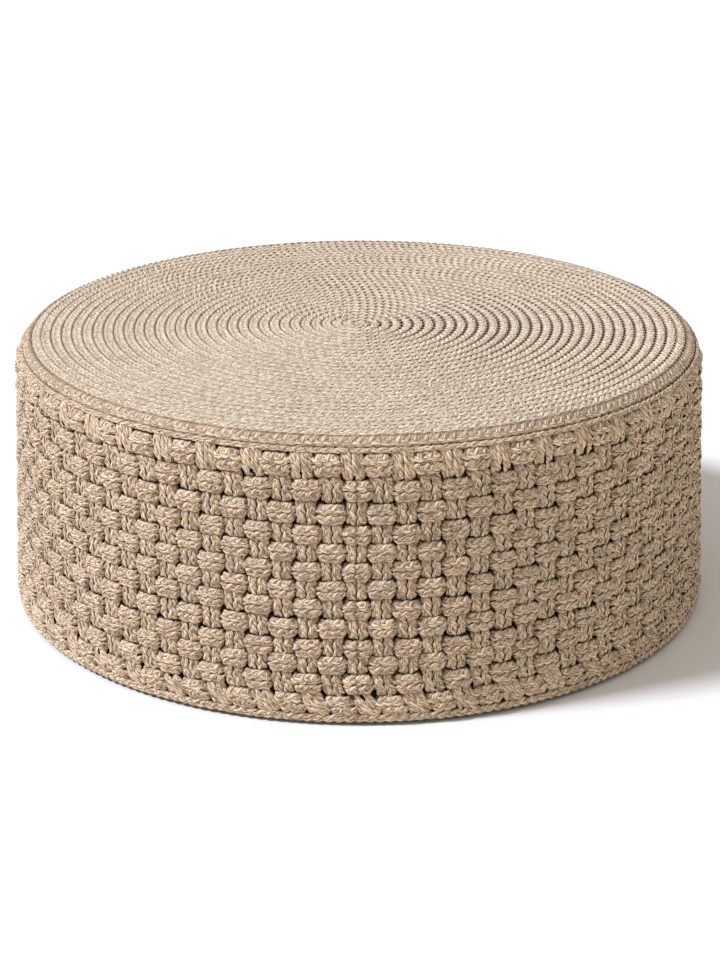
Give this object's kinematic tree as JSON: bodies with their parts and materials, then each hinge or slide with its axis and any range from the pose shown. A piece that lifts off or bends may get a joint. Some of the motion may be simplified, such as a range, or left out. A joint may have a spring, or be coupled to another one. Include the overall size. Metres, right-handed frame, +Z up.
{
  "type": "outdoor ottoman footstool",
  "caption": "Low round drum footstool in woven braided rope, with a coiled braid top, over a welded aluminium frame.",
  "frame": {"origin": "on the floor, under the middle of the drum, at the height of the glides' lower faces", "axes": "+Z up through the middle of the drum, -Y towards the side that the picture shows"},
  "size_m": [0.9124, 0.9124, 0.3541],
  "materials": {
    "rope_mat": "braided sand-coloured outdoor rope, matt",
    "rope_weave": "flat braided sand-coloured outdoor rope, matt",
    "foam": "open quick-dry foam",
    "frame": "powder coated, satin taupe",
    "cover_mesh": "coated polyester mesh, matt",
    "glide_plastic": "moulded, fine grain",
    "screw_steel": "stainless"
  },
  "bodies": {
    "root": {"base_cord": "rope_weave", "base_cover": "cover_mesh", "bottom_border": "rope_weave", "bottom_ring": "frame", "deck_hub": "frame", "deck_panel": "frame", "deck_spoke_1": "frame", "deck_spoke_2": "frame", "deck_spoke_3": "frame", "deck_spoke_4": "frame", "deck_spoke_5": "frame", "deck_spoke_6": "frame", "foam_pad": "foam", "glide_1": "glide_plastic", "glide_2": "glide_plastic", "glide_3": "glide_plastic", "glide_4": "glide_plastic", "glide_5": "glide_plastic", "glide_6": "glide_plastic", "glide_screw_1": "screw_steel", "glide_screw_2": "screw_steel", "glide_screw_3": "screw_steel", "glide_screw_4": "screw_steel", "glide_screw_5": "screw_steel", "glide_screw_6": "screw_steel", "mat_core": "rope_mat", "rim_cord": "rope_mat", "side_stakes": "rope_weave", "top_border": "rope_weave", "top_mat": "rope_mat", "top_ring": "frame", "upright_1": "frame", "upright_2": "frame", "upright_3": "frame", "upright_4": "frame", "upright_5": "frame", "upright_6": "frame", "upright_7": "frame", "upright_8": "frame", "weft_band_01": "rope_weave", "weft_band_02": "rope_weave", "weft_band_03": "rope_weave", "weft_band_04": "rope_weave", "weft_band_05": "rope_weave", "weft_band_06": "rope_weave", "weft_band_07": "rope_weave", "weft_band_08": "rope_weave", "weft_band_09": "rope_weave", "weft_band_10": "rope_weave", "weft_band_11": "rope_weave"}
  },
  "joints": []
}
